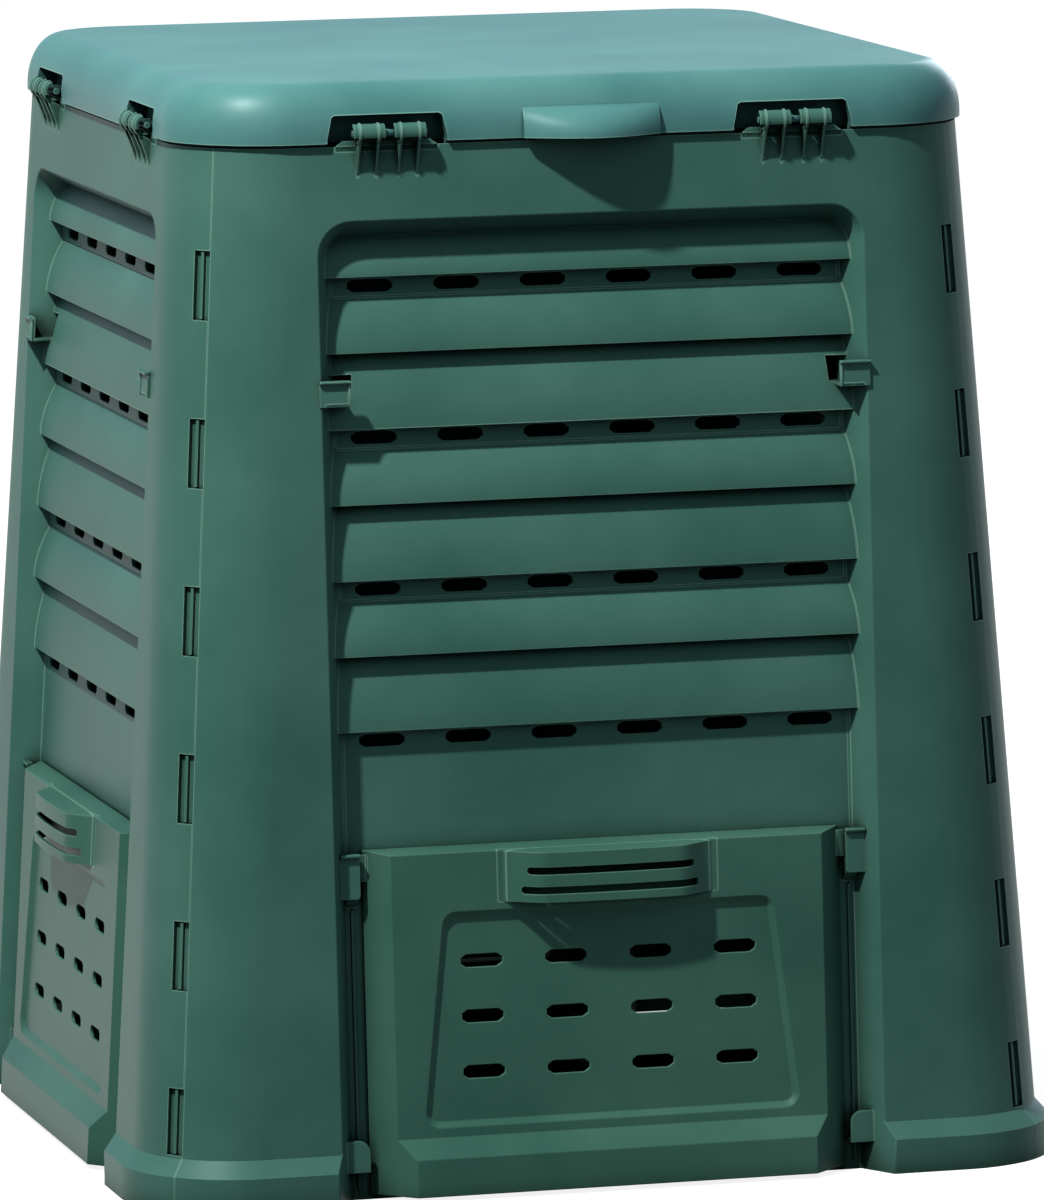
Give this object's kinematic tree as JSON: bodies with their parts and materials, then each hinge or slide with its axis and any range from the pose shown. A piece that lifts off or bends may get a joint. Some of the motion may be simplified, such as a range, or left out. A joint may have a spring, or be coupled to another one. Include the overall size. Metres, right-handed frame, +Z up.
{
  "type": "compost bin with lid",
  "caption": "Tapered square garden compost bin in green plastic, with louvred and slotted walls, lift-out hatch doors, corner tabs and a lid that hinges on clips.",
  "frame": {"origin": "on the ground under the middle of the bin", "axes": "+Z up, front wall with the lid's finger grip towards -Y, +X to the right seen from the front"},
  "size_m": [0.719, 0.719, 0.826],
  "materials": {
    "wall_plastic": "satin moulded polypropylene",
    "door_plastic": "satin moulded polypropylene",
    "lid_plastic": "satin moulded polypropylene"
  },
  "bodies": {
    "bin": {"wall_front": "wall_plastic", "wall_right": "wall_plastic", "wall_back": "wall_plastic", "wall_left": "wall_plastic"},
    "lid": {"lid": "lid_plastic"},
    "hatch_front": {"door_front": "door_plastic"},
    "hatch_right": {"door_right": "door_plastic"},
    "hatch_back": {"door_back": "door_plastic"},
    "hatch_left": {"door_left": "door_plastic"}
  },
  "joints": [
    {"name": "lid_hinge", "type": "hinge", "parent": "bin", "child": "lid", "pos_m": [0, 0.30675, 0.7895], "axis": [-1, 0, 0], "range_deg": [0, 105]},
    {"name": "door_lift_front", "type": "slide", "parent": "bin", "child": "hatch_front", "axis": [0, 0, 1], "range_m": [0, 0.32]},
    {"name": "door_lift_right", "type": "slide", "parent": "bin", "child": "hatch_right", "axis": [0, 0, 1], "range_m": [0, 0.32]},
    {"name": "door_lift_back", "type": "slide", "parent": "bin", "child": "hatch_back", "axis": [0, 0, 1], "range_m": [0, 0.32]},
    {"name": "door_lift_left", "type": "slide", "parent": "bin", "child": "hatch_left", "axis": [0, 0, 1], "range_m": [0, 0.32]}
  ]
}
